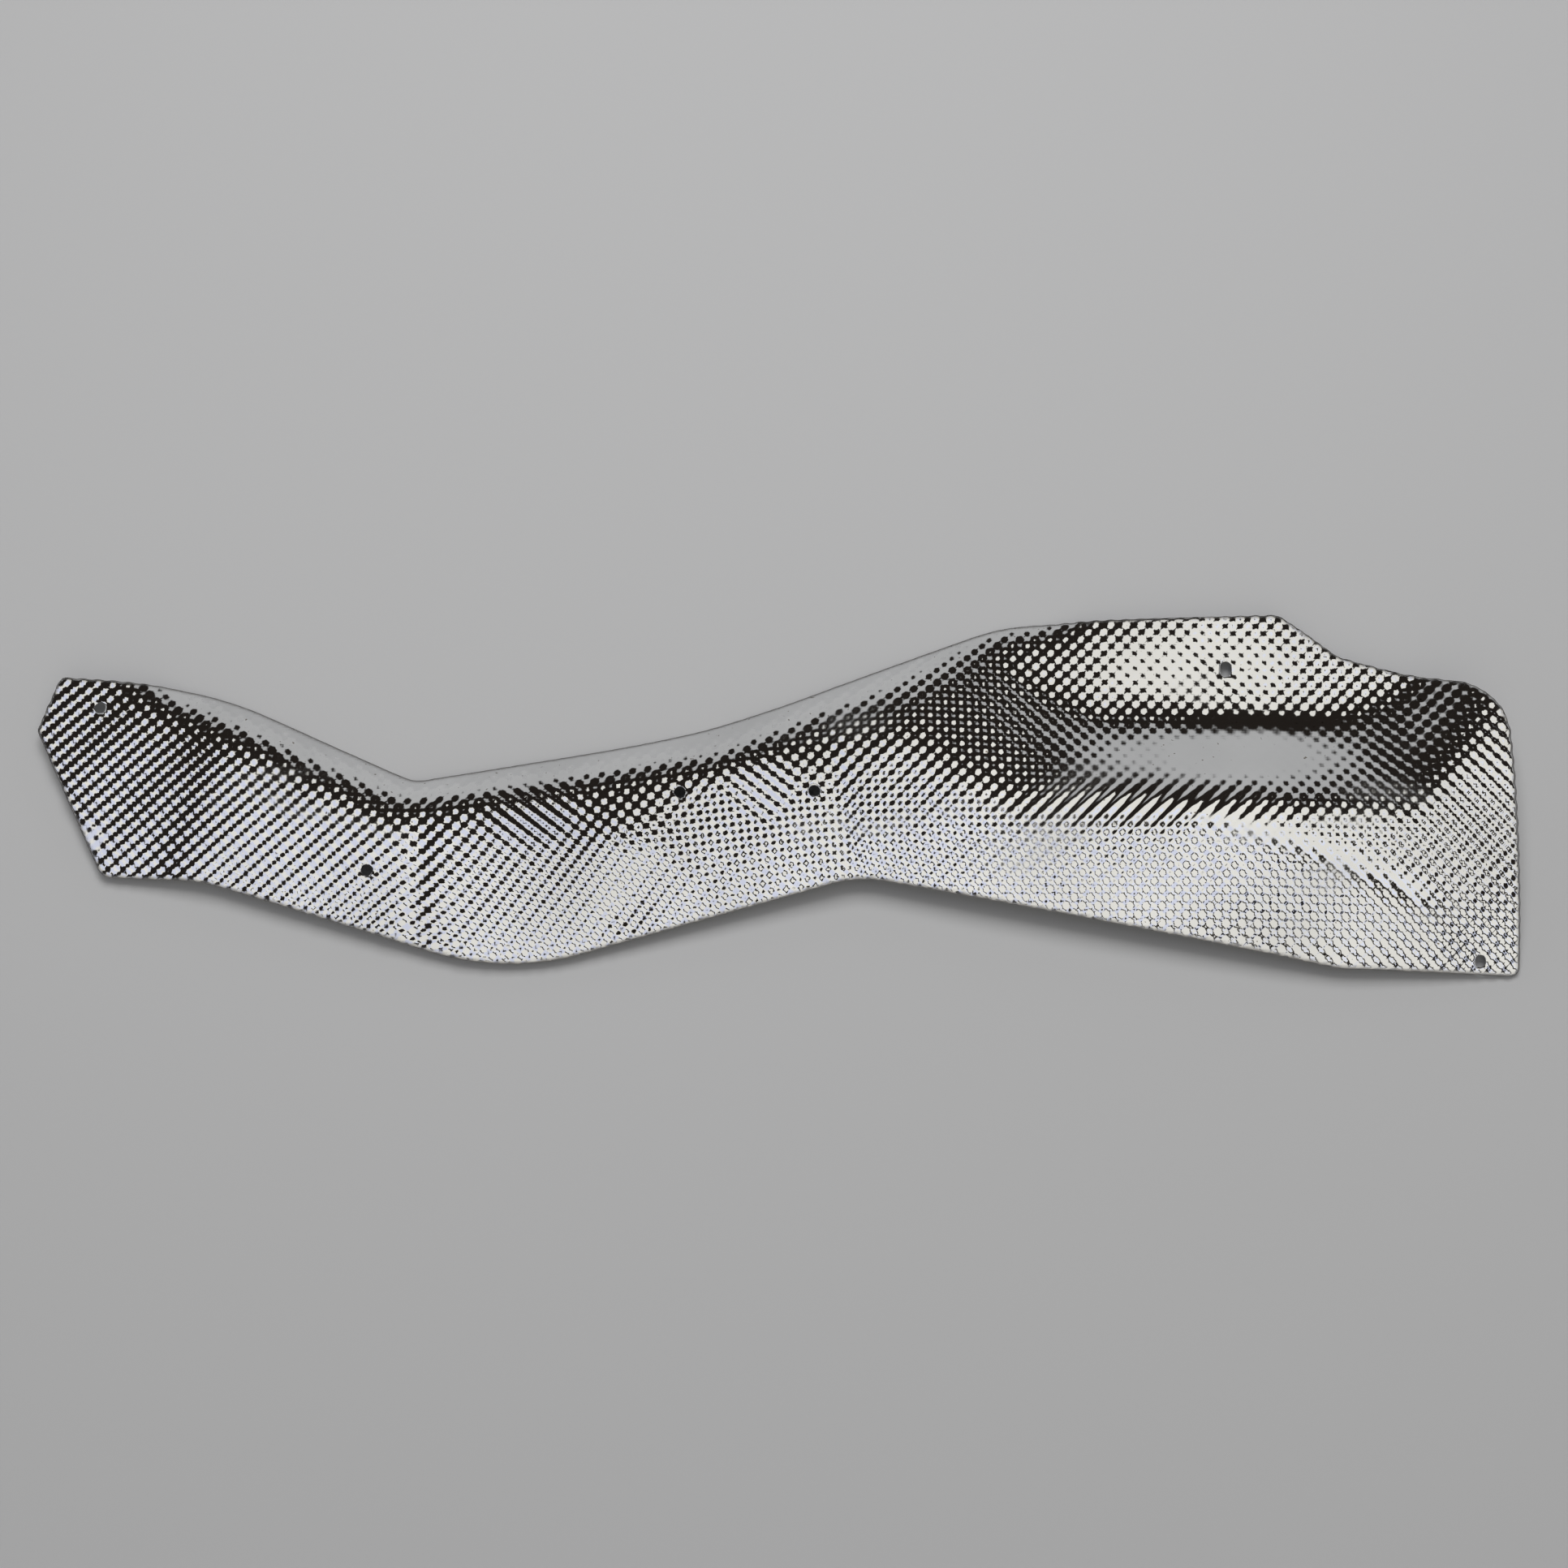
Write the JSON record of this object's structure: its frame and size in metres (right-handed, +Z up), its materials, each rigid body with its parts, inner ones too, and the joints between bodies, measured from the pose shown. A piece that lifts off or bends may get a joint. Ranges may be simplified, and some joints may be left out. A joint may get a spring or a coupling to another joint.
{
  "type": "embossed heat shield",
  "caption": "Long pressed heat shield of dimpled aluminium sheet with a rolled back flange, a crowned face, a recessed slotted pad and screw holes.",
  "frame": {"origin": "middle of the box around the shield, at the surface that it lies on", "axes": "+X along the shield towards the wide end, +Y towards the back flange, +Z up out of the crowned face"},
  "size_m": [0.805, 0.2054, 0.031],
  "materials": {
    "embossed_aluminium": "bright mill finish, dimpled all over"
  },
  "bodies": {
    "root": {"heat_shield": "embossed_aluminium"}
  },
  "joints": []
}
